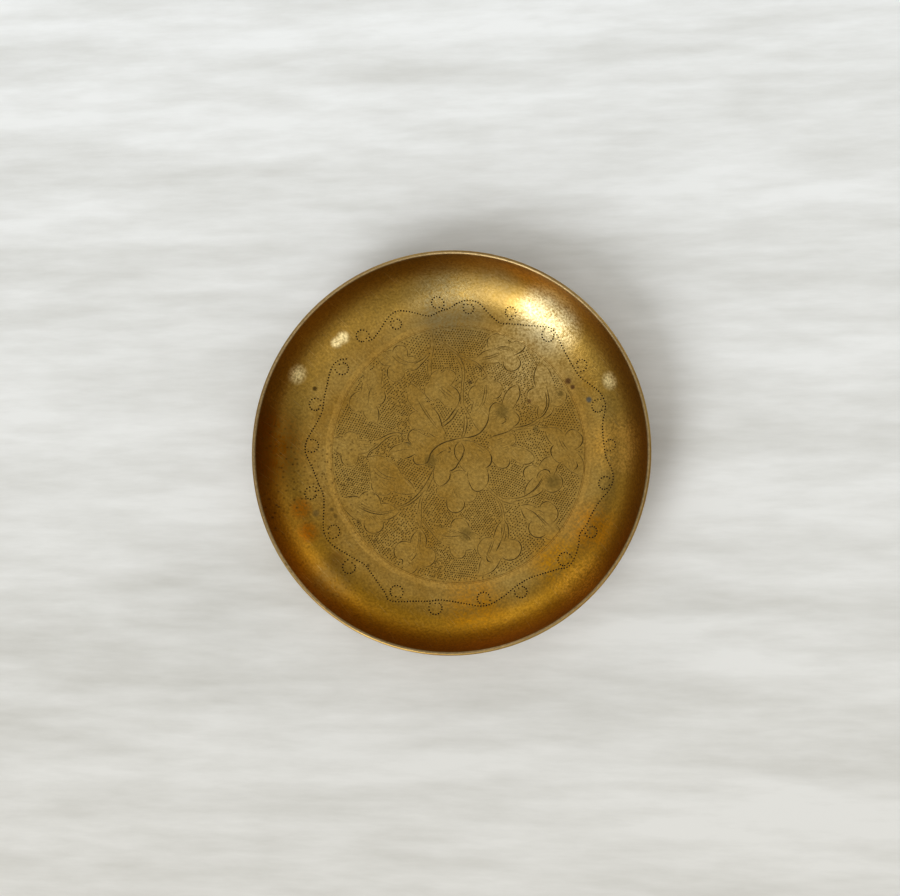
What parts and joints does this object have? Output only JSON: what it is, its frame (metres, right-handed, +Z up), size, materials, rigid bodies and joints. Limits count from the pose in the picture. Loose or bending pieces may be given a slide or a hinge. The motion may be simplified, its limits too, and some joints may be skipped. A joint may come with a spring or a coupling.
{
  "type": "round brass tray",
  "caption": "Shallow round tray of spun sheet brass with a coved wall, a rounded lip and an engraved floor, on a soldered foot ring.",
  "frame": {"origin": "on the table, under the centre of the tray", "axes": "+Z up along the axis of the turned dish; +X and +Y level, with the engraved spray upright when +Y is away from the viewer"},
  "size_m": [0.152, 0.152, 0.024],
  "materials": {
    "brass_sheet": "aged satin, hand engraved",
    "brass_strip": "tarnished, bright where it rubs",
    "solder": "dull soft solder"
  },
  "bodies": {
    "root": {"dish": "brass_sheet", "foot_ring": "brass_strip", "foot_solder": "solder", "seam_solder": "solder"}
  },
  "joints": []
}
